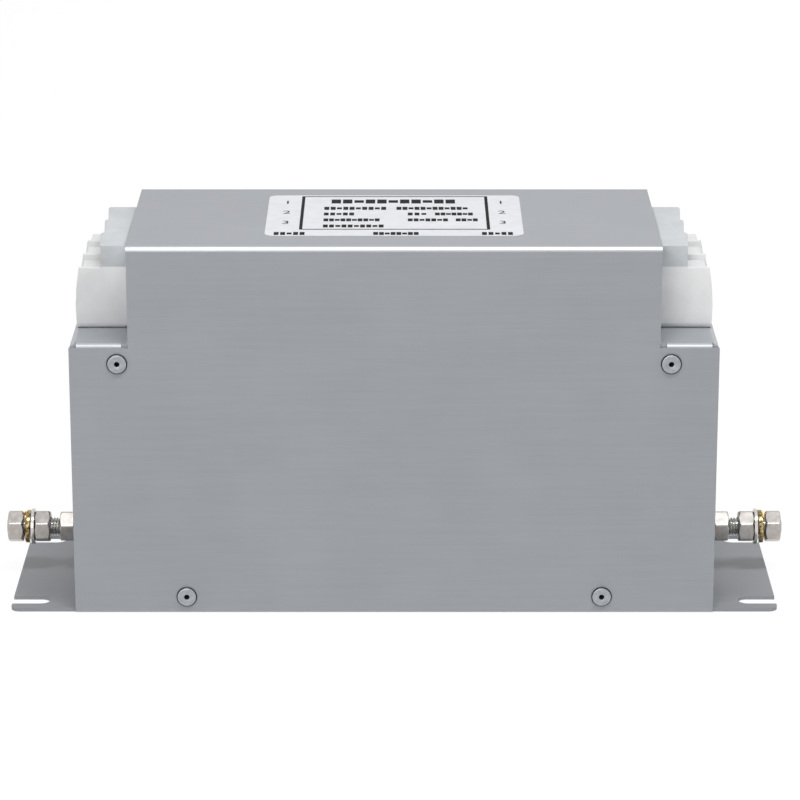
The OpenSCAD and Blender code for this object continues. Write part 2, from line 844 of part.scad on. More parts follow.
// Tube of diameter d along a route; its corners keep clear of the ring's own axis
module wire(route, d) {
    last = len(route) - 1;
    rings = [
        for (i = [0 : last])
            let (ahead = unit(route[min(i + 1, last)] - route[i == last ? last - 1 : i]),
                 behind = unit(route[i == 0 ? 1 : i] - route[max(i - 1, 0)]),
                 dir = unit(ahead + behind), side = unit([-route[i][1], route[i][0], 0]))
            tube_ring(route[i], dir, side, d / 2 / max(0.5, sqrt((1 + ahead * behind) / 2)))
    ];
    faces = [
        for (i = [0 : last - 1]) for (k = [0 : 5]) each quad(i * 6 + k, i * 6 + (k + 1) % 6, 6)
    ];
    caps = [[for (k = [5 : -1 : 0]) k], [for (k = [0 : 5]) last * 6 + k]];
    polyhedron(points = [for (ring = rings) for (p = ring) p], faces = concat(faces, caps));
}

module choke_winding(i) {
    color(copper) wire(winding_route(120 * i), winding_d);
}

module choke_clamp_disc() {
    color("dimgray") difference() {
        union() {
            translate([0, 0, disc_z]) cylinder(h = disc_t, d = case_od * 0.86, $fn = 96);
            at_case_seats() translate([0, 0, choke_z + case_h])
                cylinder(h = disc_z - choke_z - case_h + 0.1, d = seat_d);
        }
        cylinder(h = board_z, d = choke_bolt_d + 0.4);
    }
}

module choke_bolt() {
    head_h = 4;
    head_af = 10;
    color(zinc_part) {
        translate([0, 0, cover_lift]) cylinder(h = disc_z + disc_t - cover_lift + 0.1, d = choke_bolt_d);
        translate([0, 0, disc_z + disc_t]) cylinder(h = head_h, d = head_af / cos(30), $fn = 6);
    }
}

module spacer_places() {
    for (x = [-spacer_x, spacer_x]) {
        for (y = [-spacer_y, spacer_y]) {
            translate([x, y, 0]) children();
        }
    }
}

module circuit_board() {
    color("darkgreen") difference() {
        translate([-board_l / 2, -board_w / 2, board_z]) linear_extrude(board_t)
            round_rect(board_l, board_w, 3);
        spacer_places() translate([0, 0, board_z - 1]) cylinder(h = board_t + 2, d = board_hole_d);
    }
}

module board_spacers() {
    bore_l = 10;
    color(zinc_part) spacer_places() difference() {
        union() {
            translate([0, 0, sheet_t]) cylinder(h = board_z - sheet_t, d = spacer_d);
            translate([0, 0, cover_lift]) cylinder(h = sheet_t, d = stub_d);
        }
        translate([0, 0, board_z - bore_l]) cylinder(h = bore_l + 1, d = board_screw_d + 2 * thread_gap);
    }
}

module board_screws() {
    shank_l = 8;
    head_d = 5.8;
    head_h = 2.2;
    color(zinc_part) spacer_places() translate([0, 0, board_top]) {
        translate([0, 0, -shank_l]) cylinder(h = shank_l + 0.1, d = board_screw_d);
        cylinder(h = head_h, d = head_d);
    }
}

module film_capacitor(l, w, h) {
    foot = 1;
    translate([-l / 2, -w / 2, board_top + foot]) linear_extrude(h - foot) round_rect(l, w, 1);
    for (x = [-l / 2 + 2, l / 2 - 4]) {
        translate([x, -w / 2 + 1, board_top]) cube([2, w - 2, foot + 0.1]);
    }
}

module x_capacitors(side) {
    gap = 2;
    x = raised_x - bar_inner_l - link_flange_l - 7 - xcap_l / 2;
    color("khaki") at_end(side) for (i = [-1 : 1]) {
        translate([x, i * (xcap_w + gap), 0]) film_capacitor(xcap_l, xcap_w, xcap_h);
    }
}

module y_capacitor() {
    color("royalblue") rotate(90) film_capacitor(ycap_l, ycap_w, ycap_h);
}

module discharge_resistors() {
    body_l = 12;
    body_wide = 4.5;
    lead = 0.8;
    reach = 9;
    z = board_top + body_wide / 2 + 0.5;
    color("tan") for (i = [-1 : 1]) {
        translate([resistor_x, i * resistor_pitch, z]) rotate([90, 0, 0]) {
            translate([0, 0, -body_l / 2]) cylinder(h = body_l, d = body_wide);
            translate([0, 0, -reach]) cylinder(h = 2 * reach, d = lead);
        }
        for (y = [-reach, reach]) {
            translate([resistor_x, i * resistor_pitch + y, board_top])
                cylinder(h = z - board_top + lead / 2, d = lead);
        }
    }
}

base_plate();
cover();
end_bracket("line");  // line_end_bracket
end_bracket("load");  // load_end_bracket
rivets(-1);  // front_rivets
rivets(1);  // rear_rivets
rating_label();
pole_housing("line", 0);  // line_pole_housing_1
pole_housing("line", 1);  // line_pole_housing_2
pole_housing("line", 2);  // line_pole_housing_3
pole_housing("load", 0);  // load_pole_housing_1
pole_housing("load", 1);  // load_pole_housing_2
pole_housing("load", 2);  // load_pole_housing_3
touch_guard("line");  // line_touch_guard
touch_guard("load");  // load_touch_guard
clamp_cages("line");  // line_clamp_cages
clamp_cages("load");  // load_clamp_cages
clamp_screws("line");  // line_clamp_screws
clamp_screws("load");  // load_clamp_screws
feed_bars("line");  // line_feed_bars
feed_bars("load");  // load_feed_bars
retaining_plate("line");  // line_retaining_plate
retaining_plate("load");  // load_retaining_plate
earth_stud("line");  // line_earth_stud
earth_stud("load");  // load_earth_stud
washer("line", wall_washer_x, washer_d, washer_t);  // line_wall_washer
washer("load", wall_washer_x, washer_d, washer_t);  // load_wall_washer
washer("line", lock_washer_x, spring_d, lock_washer_t);  // line_lock_washer
washer("load", lock_washer_x, spring_d, lock_washer_t);  // load_lock_washer
nut("line", inner_nut_x, nut_turn + 8);  // line_inner_nut
nut("load", inner_nut_x, nut_turn + 5);  // load_inner_nut
nut("line", middle_nut_x, nut_turn + 1);  // line_middle_nut
nut("load", middle_nut_x, nut_turn + 3);  // load_middle_nut
washer("line", plain_washer_x, washer_d, washer_t);  // line_plain_washer
washer("load", plain_washer_x, washer_d, washer_t);  // load_plain_washer
spring_washer("line");  // line_spring_washer
spring_washer("load");  // load_spring_washer
nut("line", outer_nut_x, nut_turn);  // line_outer_nut
nut("load", outer_nut_x, nut_turn);  // load_outer_nut
insulating_liner();
choke_base();
choke_core();
choke_case();
choke_winding(0);  // choke_winding_1
choke_winding(1);  // choke_winding_2
choke_winding(2);  // choke_winding_3
choke_clamp_disc();
choke_bolt();
circuit_board();
board_spacers();
board_screws();
x_capacitors("line");  // line_x_capacitors
x_capacitors("load");  // load_x_capacitors
y_capacitor();
discharge_resistors();
links("line");  // line_links
links("load");  // load_links
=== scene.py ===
# %% [markdown]
# # A three-line EMI filter, dressed in Blender
# The filter's pieces arrive as exact solids: the folded sheets, the moulded pole housings,
# the nuts. This lesson gives each of them the finish of the real part, adds the small forms
# that are too fine for the solids, such as the studs' threads and the label's print, and
# sets up a plain studio. Each step says first what the piece is and how it could be made.

# %% Load the frame
import bmesh
import bpy
import numpy as np
from mathutils import Matrix, Vector


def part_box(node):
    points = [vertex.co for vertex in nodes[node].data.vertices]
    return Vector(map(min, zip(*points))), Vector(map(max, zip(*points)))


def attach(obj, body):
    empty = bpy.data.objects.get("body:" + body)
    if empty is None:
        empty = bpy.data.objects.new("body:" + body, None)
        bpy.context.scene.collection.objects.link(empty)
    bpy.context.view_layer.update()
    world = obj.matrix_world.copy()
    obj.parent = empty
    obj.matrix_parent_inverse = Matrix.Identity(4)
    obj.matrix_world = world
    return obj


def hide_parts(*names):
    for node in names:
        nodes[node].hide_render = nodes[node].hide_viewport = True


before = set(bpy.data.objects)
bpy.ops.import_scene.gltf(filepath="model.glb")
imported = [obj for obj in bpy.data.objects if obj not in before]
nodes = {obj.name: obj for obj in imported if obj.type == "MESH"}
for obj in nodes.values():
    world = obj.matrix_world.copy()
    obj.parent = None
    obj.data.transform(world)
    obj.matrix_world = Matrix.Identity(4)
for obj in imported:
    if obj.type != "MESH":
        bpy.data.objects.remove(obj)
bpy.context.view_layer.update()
MM = 0.001

# %% [markdown]
# Three helpers come first. Hex colours are written as a screen shows them, and Blender
# works in linear light, so one function turns the one into the other. Materials are node
# graphs, so one function adds a node, sets its values and wires its inputs. Most finishes here
# are the same recipe with other sizes: broad patches, a fine grain, and plain values for the
# rest, so a third function makes a whole finish of them.

# %% Helpers for colours and nodes
def linear(hex_colour, alpha=1.0):
    """Linear RGBA of an sRGB hex colour: the screen's curve undone, channel by channel."""
    screen = np.array([int(hex_colour[i:i + 2], 16) for i in (1, 3, 5)]) / 255
    light = np.where(screen <= 0.04045, screen / 12.92, ((screen + 0.055) / 1.055) ** 2.4)
    return (*light.tolist(), alpha)


def add_node(tree, kind, values=None, links=None, **settings):
    """Adds a node of a kind, with its settings, its input values and its incoming links."""
    node = tree.nodes.new(kind)
    for name, value in settings.items():
        setattr(node, name, value)
    for name, value in (values or {}).items():
        node.inputs[name].default_value = value
    for name, socket in (links or {}).items():
        tree.links.new(socket, node.inputs[name])
    return node


NOISE_DETAIL = 3.0
PATCH_STOPS = (0.35, 0.65)


def finish(name, dark, light, roughness, metallic=0.0, wander=0.0, patch_mm=3.0, grain_mm=0.5,
           run=(1, 1, 1), grain_share=0.0, depth_mm=0.02, relief=0.1, **plain):
    """A finish of two noises. Its colour goes from dark to light with patches patch_mm wide
    mixed with a grain grain_mm wide, which is longer where run is under 1. Its roughness
    wanders with the same mix, and the grain stands depth_mm proud. The rest is plain."""
    material = bpy.data.materials.new(name)
    material.use_nodes = True
    tree = material.node_tree
    shader = tree.nodes["Principled BSDF"]
    settings = {"Base Color": linear(light), "Metallic": metallic, "Roughness": roughness}
    for socket, value in {**settings, **plain}.items():
        shader.inputs[socket.replace("_", " ")].default_value = value
    place = add_node(tree, "ShaderNodeTexCoord").outputs["Object"]
    patches = add_node(tree, "ShaderNodeTexNoise",
                       {"Scale": 1 / (patch_mm * MM), "Detail": NOISE_DETAIL}, {"Vector": place})
    along = add_node(tree, "ShaderNodeMapping", {"Scale": run}, {"Vector": place})
    grain = add_node(tree, "ShaderNodeTexNoise",
                     {"Scale": 1 / (grain_mm * MM), "Detail": NOISE_DETAIL},
                     {"Vector": along.outputs["Vector"]})
    mix = add_node(tree, "ShaderNodeMix", {"Factor": grain_share},
                   {"A": patches.outputs["Fac"], "B": grain.outputs["Fac"]})
    ramp = add_node(tree, "ShaderNodeValToRGB", links={"Fac": mix.outputs["Result"]})
    for stop, position, colour in zip(ramp.color_ramp.elements, PATCH_STOPS, (dark, light)):
        stop.position = position
        stop.color = linear(colour)
    tree.links.new(ramp.outputs["Color"], shader.inputs["Base Color"])
    if wander:
        span = add_node(tree, "ShaderNodeMapRange",
                        {"To Min": roughness - wander, "To Max": roughness + wander},
                        {"Value": mix.outputs["Result"]})
        tree.links.new(span.outputs["Result"], shader.inputs["Roughness"])
    bump = add_node(tree, "ShaderNodeBump", {"Strength": relief, "Distance": depth_mm * MM},
                    {"Height": grain.outputs["Fac"]})
    tree.links.new(bump.outputs["Normal"], shader.inputs["Normal"])
    return material


print("linear light of half grey:", round(linear("#808080")[0], 3))

# %% [markdown]
# ## The case: zinc-coated sheet steel
# The cover, the base and the end brackets are cold-rolled steel sheet with a thin zinc coat,
# cut flat and then folded. The coat is satin and slightly blue-grey. Its crystals scatter most
# of the light, so it counts as one fifth rough metal and four fifths plain colour, which also
# lets the studs' shadows lie on it. Faint clouds 30 mm across come from the coating bath, and
# fine streaks 1 mm apart run along the rolling direction. Both move colour and roughness only a
# little, because a clean sheet looks plain. Each bend, known by its normal, is made more
# metallic and glossy, as a press brake rubs it, and its colour is lightened there as a painted
# highlight along the fold. The cover's sharp bends get the most.

# %% Zinc-coated sheet steel
FLAT_NORMAL = 0.998
BENT_NORMAL = 0.96


def burnish_bends(material, rubbed_metallic, rubbed_roughness, painted_highlight_colour):
    """Makes the bends more metallic and glossy, and lightens their colour as a painted highlight.
    A bend's normal leans away from X, Y and Z alike, so the largest of |nx|, |ny| and |nz| drops
    below one there, and the finish blends over as it drops."""
    tree = material.node_tree
    shader = tree.nodes["Principled BSDF"]
    normal = add_node(tree, "ShaderNodeTexCoord").outputs["Normal"]
    sizes = add_node(tree, "ShaderNodeVectorMath", links={0: normal}, operation="ABSOLUTE")
    part = add_node(tree, "ShaderNodeSeparateXYZ", links={0: sizes.outputs["Vector"]}).outputs
    wider = add_node(tree, "ShaderNodeMath", links={0: part["X"], 1: part["Y"]},
                     operation="MAXIMUM")
    largest = add_node(tree, "ShaderNodeMath", links={0: wider.outputs["Value"], 1: part["Z"]},
                       operation="MAXIMUM")
    bend = add_node(tree, "ShaderNodeMapRange", {"From Min": FLAT_NORMAL, "From Max": BENT_NORMAL},
                    {"Value": largest.outputs["Value"]}).outputs["Result"]
    plain_metallic = shader.inputs["Metallic"].default_value
    metal = add_node(tree, "ShaderNodeMapRange",
                     {"To Min": plain_metallic, "To Max": rubbed_metallic}, {"Value": bend})
    gloss = add_node(tree, "ShaderNodeMix", {"B": rubbed_roughness},
                     {"Factor": bend, "A": shader.inputs["Roughness"].links[0].from_socket})
    # painted highlight: the bend's colour is lightened towards the given lighter colour
    colour = add_node(tree, "ShaderNodeMixRGB", {"Color2": linear(painted_highlight_colour)},
                      {"Fac": bend, "Color1": shader.inputs["Base Color"].links[0].from_socket})
    tree.links.new(metal.outputs["Result"], shader.inputs["Metallic"])
    tree.links.new(gloss.outputs["Result"], shader.inputs["Roughness"])
    tree.links.new(colour.outputs["Color"], shader.inputs["Base Color"])


def zinc_coated_sheet(part, run, dark, light):
    """Zinc-coated steel sheet: clouds 30 mm wide, and streaks drawn out along the rolling."""
    return finish(f"zinc_coated_sheet_{part}", dark, light, 0.46, 0.2, wander=0.03, patch_mm=30,
                  grain_mm=1.0, run=run, grain_share=0.5, depth_mm=0.01, relief=0.05)


ALONG_X, ALONG_Z = (0.03, 1, 1), (1, 1, 0.03)
cover_sheet = zinc_coated_sheet("cover", ALONG_X, "#9C9FA4", "#A1A4A9")
plate_sheet = zinc_coated_sheet("base", ALONG_X, "#909397", "#96999D")
bracket_sheet = zinc_coated_sheet("brackets", ALONG_Z, "#A4A7AC", "#AAADB2")
# the lighter bend colours below are painted highlights along the folds
burnish_bends(cover_sheet, 0.75, 0.36, "#BEC1C6")
burnish_bends(bracket_sheet, 0.3, 0.42, "#B2B5BA")
print("sheets:", cover_sheet.name, plate_sheet.name, bracket_sheet.name)

# %% [markdown]
# ## Plated hardware
# Studs, nuts, washers and rivets are steel, zinc plated in a barrel: satin rather than
# mirror-bright, a little warm, with patches a few millimetres across where the pieces
# tumbled on each other. The washers are smoother than the nuts. The spring washer between the
# two outer nuts is yellow chromated, a film that is brown where it is thick and gold where it
# is thin. The rivets' broken pins are drawn steel without a coat, nearly black.

# %% Plated and chromated steel
def plated_steel(part, dark, light, roughness, patch_mm=3.0, relief=0.12):
    """Barrel-plated steel: colour and roughness wander over patches, with tiny nicks."""
    return finish(part, dark, light, roughness, 1.0, wander=0.07, patch_mm=patch_mm,
                  grain_mm=0.45, depth_mm=0.03, relief=relief)


nut_steel = plated_steel("zinc_plated_steel_nuts", "#ABA6A2", "#BCB7B3", 0.31)
washer_steel = plated_steel("zinc_plated_steel_washers", "#C9C5C1", "#DAD7D4", 0.16, relief=0.05)
thread_steel = plated_steel("zinc_plated_steel_threads", "#B2B2B0", "#CACAC7", 0.24)
rivet_steel = plated_steel("zinc_plated_steel_rivets", "#9A9DA1", "#A9ACB0", 0.42, 1.5)
# the same dark finish is also painted on the rivets' rims as a thin ring of shade
pin_steel_and_rim_shade = plated_steel("dark_pin_steel_and_painted_rim_shade", "#1C1C1E", "#2E2E30", 0.5, 1.0)
chromated = plated_steel("yellow_chromated_spring_steel", "#4A3820", "#C2AC7C", 0.24, 1.6)
print("hardware:", nut_steel.name, washer_steel.name, chromated.name)

# %% [markdown]
# ## Moulded polyamide
# Polyamide is milky rather than painted white: light enters it a little before it comes back,
# so edges glow and shadows stay soft. The mould leaves a fine satin grain. The pole housings
# are natural white, and the touch guards are a shade greyer.

# %% Moulded polyamide
def moulded_polyamide(name, dark, light, roughness, depth_mm):
    """Polyamide: soft light from depth_mm under the skin, and a fine moulded grain."""
    return finish(name, dark, light, roughness, patch_mm=8, grain_mm=0.35, relief=0.12, IOR=1.53,
                  Subsurface_Weight=0.3, Subsurface_Radius=(1.0, 0.9, 0.8),
                  Subsurface_Scale=depth_mm * MM)


white_polyamide = moulded_polyamide("white_polyamide", "#E7E8E8", "#EDEEEE", 0.42, 1.5)
grey_polyamide = moulded_polyamide("light_grey_polyamide", "#CBCFD2", "#D2D6D9", 0.45, 0.8)
print("plastics:", white_polyamide.name, grey_polyamide.name)

# %% [markdown]
# ## The rating label's film and ink
# The label is matt white polyester film, printed in black. The film has a very fine tooth
# that keeps it from shining. The ink is a thin matt layer that swallows light even where it
# comes in flat, so its mirror share is turned down to about a quarter of its usual value.

# %% Label film and ink
label_film = finish("matt_white_polyester_film", "#E2E3E7", "#E8E9ED", 0.5, patch_mm=6,
                    grain_mm=0.25, depth_mm=0.004, IOR=1.57)
label_ink = finish("dark_printing_ink", "#0C0D0F", "#161719", 0.7, patch_mm=1.2,
                   grain_mm=0.25, depth_mm=0.004, IOR=1.5, Specular_IOR_Level=0.12)
print("label:", label_film.name, label_ink.name)

# %% [markdown]
# ## Inside the case
# The inner pieces can't be seen when the case is closed, but an open one shows them: film
# liner, black moulded supports, sintered ferrite, enamelled copper wire, bare copper bars,
# the lacquered board and its components. Each gets its own real finish.

# %% Finishes inside the case
def speckled(name, dark, light, size_mm, roughness, depth_mm=0.02, **plain):
    """A moulded, pressed or sintered body: specks of size_mm in colour and in height."""
    return finish(name, dark, light, roughness, grain_mm=size_mm, grain_share=1.0,
                  depth_mm=depth_mm, relief=0.25, **plain)


def copper_metal(name, dark, light, roughness, **plain):
    """Copper with a brown tarnish in patches 6 mm wide, and drawing marks along X."""
    return finish(name, dark, light, roughness, 1.0, wander=0.08, patch_mm=6, grain_mm=0.6,
                  run=(0.1, 1, 1), **plain)


WEAVE_PITCH = 1.184 * MM
WEAVE_DEPTH = 0.01 * MM


def lacquered_board():
    """Green lacquer over glass cloth: the product of two crossed waves, whose period is
    2 pi / (20 scale). It is drawn about twice as coarse as real cloth, so that it shows."""
    material = finish("green_lacquered_laminate", "#184A2F", "#236341", 0.3, IOR=1.5,
                      Coat_Weight=0.5, Coat_Roughness=0.15)
    tree = material.node_tree
    place = add_node(tree, "ShaderNodeTexCoord").outputs["Object"]
    scale = 2 * np.pi / (20 * WEAVE_PITCH)
    waves = [add_node(tree, "ShaderNodeTexWave", {"Scale": scale}, {"Vector": place},
                      bands_direction=axis).outputs["Fac"] for axis in "XY"]
    weave = add_node(tree, "ShaderNodeMath", links={0: waves[0], 1: waves[1]},
                     operation="MULTIPLY")
    bump = add_node(tree, "ShaderNodeBump", {"Strength": 0.3, "Distance": WEAVE_DEPTH},
                    {"Height": weave.outputs["Value"]})
    tree.links.new(bump.outputs["Normal"], tree.nodes["Principled BSDF"].inputs["Normal"])
    return material


inner_finishes = {
    "liner": speckled("milky_polyester_film", "#D9D5C8", "#E4E1D6", 1.5, 0.45),
    "retaining_plate": speckled("ivory_glass_polyester", "#D6CFB9", "#E6E0CC", 0.8, 0.5),
    "choke_base": speckled("black_moulded_phenolic", "#161617", "#222224", 0.7, 0.4),
    "choke_case": speckled("black_moulded_polyester", "#141415", "#1F1F21", 0.5, 0.35),
    "choke_clamp_disc": speckled("black_moulded_disc", "#18181A", "#252527", 0.9, 0.45),
    "choke_core": speckled("sintered_ferrite", "#2B2D30", "#3A3C40", 0.3, 0.6, 0.04, IOR=2.2),
    "choke_winding": copper_metal("enamelled_copper_wire", "#8A3F1E", "#C06A3A", 0.25,
                                  Coat_Weight=1.0, Coat_Roughness=0.08),
    "feed_bars": copper_metal("rolled_copper_bar", "#A8633F", "#CE8860", 0.3),
    "links": copper_metal("punched_copper_strap", "#A05C3A", "#C98259", 0.34),
    "circuit_board": lacquered_board(),
    "x_capacitors": speckled("yellow_moulded_capacitor_case", "#C9AE5C", "#D6BD6E", 0.6, 0.35),
    "y_capacitor": speckled("blue_dipped_epoxy", "#234F8C", "#2E63A8", 2.5, 0.2, 0.12),
    "resistors": speckled("beige_lacquered_resistor", "#B79A6C", "#C9AE82", 1.0, 0.35),
}
print("inner finishes:", len(inner_finishes))

# %% [markdown]
# ## Dressing the solids
# Every solid takes its finish by the first word of the list that its name holds. What is left
# over, such as nuts, screws, clamp cages and spacers, is plated steel.

# %% Dress every node
outer_finishes = {
    "cover": cover_sheet, "base_plate": plate_sheet, "end_bracket": bracket_sheet,
    "rivets": rivet_steel, "pole_housing": white_polyamide, "touch_guard": grey_polyamide,
    "rating_label": label_film, "spring_washer": chromated, "washer": washer_steel,
    "earth_stud": thread_steel,
}
finishes = {**outer_finishes, **inner_finishes}
for name, solid in nodes.items():
    coat = next((coat for key, coat in finishes.items() if key in name), nut_steel)
    solid.data.materials.clear()
    solid.data.materials.append(coat)
print("dressed:", sum(len(solid.data.materials) for solid in nodes.values()))

# %% [markdown]
# ## Surfaces from grids
# Turned and wound pieces are grids of points: rows along a profile, columns around an axis.
# One function joins neighbouring points into faces, closes the grid where it is asked to and
# turns all faces outwards, which it knows from the sign of the enclosed volume.

# %% From a grid of points to a piece
def grid_faces(rows, columns, close_rows):
    """Quads between neighbouring points of a grid that closes round its columns."""
    index = np.arange(rows * columns).reshape(rows, columns)
    if close_rows:
        index = np.vstack([index, index[:1]])
    index = np.hstack([index, index[:, :1]])
    corners = (index[:-1, :-1], index[1:, :-1], index[1:, 1:], index[:-1, 1:])
    return np.stack(corners, axis=-1).reshape(-1, 4)


def end_faces(rows, columns, start=0):
    """The first row's points in order and the last row's backwards, to face as the quads do."""
    last = start + rows * columns - 1
    return [list(range(start, start + columns)), list(range(last, last - columns, -1))]


def enclosed_volume(points, quads):
    """Sum of a . (b x c + c x d) / 6 over the quads' corners: positive if they face out."""
    a, b, c, d = (points[quads[:, k]] for k in range(4))
    return np.einsum("ij,ij->i", a, np.cross(b, c) + np.cross(c, d)).sum() / 6


def new_piece(name, points, quads, ends, material, sharp_degrees=40):
    """A mesh piece riding on the case: its quads, and its two end faces as lists of points."""
    if enclosed_volume(points - points.mean(axis=0), quads) < 0:
        quads = quads[:, ::-1]
        ends = [end[::-1] for end in ends]
    mesh = bpy.data.meshes.new(name)
    mesh.from_pydata(points.tolist(), [], quads.tolist() + [list(end) for end in ends])
    mesh.polygons.foreach_set("use_smooth", np.ones(len(mesh.polygons), dtype=bool))
    mesh.set_sharp_from_angle(angle=np.radians(sharp_degrees))
    mesh.materials.append(material)
    piece = bpy.data.objects.new(name, mesh)
    bpy.context.scene.collection.objects.link(piece)
    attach(piece, "root")
    return piece


def surface(name, grid, close_rows, material, sharp_degrees=40):
    """A piece from a grid (rows, columns, 3); an unclosed grid gets a flat face at each end."""
    rows, columns, _ = grid.shape
    ends = [] if close_rows else end_faces(rows, columns)
    return new_piece(name, grid.reshape(-1, 3), grid_faces(rows, columns, close_rows), ends,
                     material, sharp_degrees)


def around(steps):
    """The angles of one full turn in equal steps, as a row."""
    return np.linspace(0, 2 * np.pi, steps, endpoint=False)[None, :]


def turned(x, radius, angles, height):
    """Points (x, r cos a, height + r sin a) of a surface turned about a stud's axis."""
    y = radius * np.cos(angles)
    z = height + radius * np.sin(angles)
    return np.stack([x + 0 * radius, y, z], axis=-1)


print("a quad grid of 3 rows and 8 columns has", len(grid_faces(3, 8, False)), "faces")

# %% [markdown]
# ## Earth studs
# Each stud is an M8 screw set in the end wall: a rolled thread of 1.25 mm pitch, with a
# chamfered tip outside and its hexagon head inside. A thread's surface is a radius that
# depends on how far the point has come along the helix: x / pitch - angle / full turn. Its
# fraction runs up one flank and down the other, clipped flat at the crest and the root. The
# corners of a hexagon are softened by taking a high norm of the distances to its flats.

# %% Threaded studs
THREAD_PITCH = 1.25 * MM
THREAD_DEPTH = 0.72 * MM
STUD_RADIUS = 4 * MM
STUD_HEIGHT = 22 * MM
TIP_CHAMFER = 1 * MM
THREAD_IN_HEAD = 0.5 * MM
CREST_SHARE, FLANK_SHARE = 0.08, 0.8
STEPS_PER_PITCH = 10
HEX_FLATS = 13 * MM
HEX_NORM = 40
HEAD_HEIGHT = 5.3 * MM
HEAD_TURN = 3
HEAD_ALONG = np.array([0, 0.06, 0.5, 0.94, 1])[:, None]
HEAD_EDGE = np.array([0.4, 0, 0, 0, 0.4])[:, None] * MM


def thread_radius(x, angles):
    """Crest radius less the thread's depth times a clipped triangle wave along the helix."""
    along = (x / THREAD_PITCH - angles / (2 * np.pi)) % 1.0
    wave = (np.abs(2 * along - 1) - CREST_SHARE) / FLANK_SHARE
    return STUD_RADIUS - THREAD_DEPTH * np.clip(wave, 0, 1)


def hex_radius(angles, turn):
    """Radius of a softened hexagon: one over the 40-norm of |cos(angle - flat)| / half width,
    taken over its three pairs of flats."""
    flats = np.radians(turn + 60 * np.arange(3))
    share = np.abs(np.cos(angles[..., None] - flats)) / (HEX_FLATS / 2)
    return (share ** HEX_NORM).sum(axis=-1) ** (-1 / HEX_NORM)


def threaded_stud(end, sign):
    """A thread from the wall to the chamfered tip, and a hexagon head behind the wall."""
    low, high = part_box(f"{end}_earth_stud")
    tip = max(abs(low[0]), abs(high[0]))
    start = min(abs(low[0]), abs(high[0])) + HEAD_HEIGHT
    rows = round((tip - start) / (THREAD_PITCH / STEPS_PER_PITCH))
    x = np.linspace(start - THREAD_IN_HEAD, tip, rows)[:, None]
    angles = around(64)
    radius = np.minimum(thread_radius(x, angles), tip - x + STUD_RADIUS - TIP_CHAMFER)
    thread = surface(f"{end}_stud_thread", turned(sign * x, radius, angles, STUD_HEIGHT), False,
                     thread_steel, 60)
    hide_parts(f"{end}_earth_stud")
    x = start - HEAD_HEIGHT + HEAD_HEIGHT * HEAD_ALONG
    angles = around(120)
    radius = hex_radius(angles, HEAD_TURN) - HEAD_EDGE
    surface(f"{end}_stud_head", turned(sign * x, radius, angles, STUD_HEIGHT), False,
            nut_steel)
    return len(thread.data.polygons)


for end, sign in (("line", -1), ("load", 1)):
    print(end, "stud faces:", threaded_stud(end, sign))

# %% [markdown]
# ## Nuts
# A hexagon nut is the smaller of two shapes at every point: the hexagon, and a cone of 30
# degrees that chamfers its corners at both ends. Taking a soft minimum of the two, instead
# of a hard one, gives the slightly rounded edges that a plated nut has and that catch light.
# The rows are given as shares of the nut's height and lie closer near its faces, where the
# chamfer curves. A nut stops at whatever angle it is tight at, so each has a turn of its own.

# %% Hexagon nuts
NUT_TURNS = {"line_inner_nut": 11, "load_inner_nut": 8, "line_middle_nut": 4,
             "load_middle_nut": 6, "line_outer_nut": 3, "load_outer_nut": 3}
NUT_ALONG = np.array([0, 0, 0, 0.02, 0.05, 0.09, 0.14, 0.22, 0.5, 0.78, 0.86, 0.91, 0.95, 0.98,
                      1, 1, 1, 0.93, 0.07])[:, None]
SOFT_NORM = 60
CONE_START = 0.99 * HEX_FLATS / 2
FACE_RADIUS = 0.965 * HEX_FLATS / 2
FACE_MIDDLE = 5.2 * MM
BORE_RADIUS = 4.08 * MM
BORE_CHAMFER = 0.45 * MM


def hexagon_nut(name, turn):
    """A closed ring: out along one face, over the softened hexagon, back in, and the bore. Its
    radius is the soft minimum (cone ^ -n + hexagon ^ -n) ^ (-1 / n), with n = 60."""
    low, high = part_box(name)
    sign = np.sign(low[0])
    x0, x1 = sorted((abs(low[0]), abs(high[0])))
    depth = x1 - x0
    angles = around(240)
    from_end = np.minimum(NUT_ALONG, 1 - NUT_ALONG) * depth
    cone = CONE_START + from_end / np.tan(np.radians(30))
    hexagon = hex_radius(angles, turn)
    radius = (cone ** -SOFT_NORM + hexagon ** -SOFT_NORM) ** (-1 / SOFT_NORM)
    on_face = NUT_ALONG % 1 == 0
    radius = np.where(on_face, np.minimum(FACE_RADIUS, radius), radius)
    radius[[1, -4]] = FACE_MIDDLE
    radius[[0, -3]] = BORE_RADIUS + BORE_CHAMFER
    radius[-2:] = BORE_RADIUS
    grid = turned(sign * (x0 + NUT_ALONG * depth), radius, angles, STUD_HEIGHT)
    nut = surface(f"{name}_turned", grid, True, nut_steel, 50)
    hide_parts(name)
    return len(nut.data.polygons)


nut_faces = [hexagon_nut(name, turn) for name, turn in NUT_TURNS.items()]
print("nuts:", len(nut_faces), "faces each:", nut_faces[0])

# %% [markdown]
# ## Washers
# Plain washers are punched and tumbled, so their edges are round: the section is a rectangle
# with quarter-round corners, turned about the stud.

# %% Plain washers
WASHER_CLEARANCE = 0.2 * MM
TUMBLED_EDGE = 0.25 * MM


def round_section(low, high, inner, outer, edge):
    """Corners (x, radius) of a rectangle whose corners are quarter circles of radius edge."""
    quarter = np.linspace(0, np.pi / 2, 5)
    corners = ((high - edge, outer - edge, 0), (low + edge, outer - edge, 1),
               (low + edge, inner + edge, 2), (high - edge, inner + edge, 3))
    arcs = [np.stack([x + edge * np.cos(quarter + k * np.pi / 2),
                      r + edge * np.sin(quarter + k * np.pi / 2)], axis=-1) for x, r, k in corners]
    return np.concatenate(arcs)


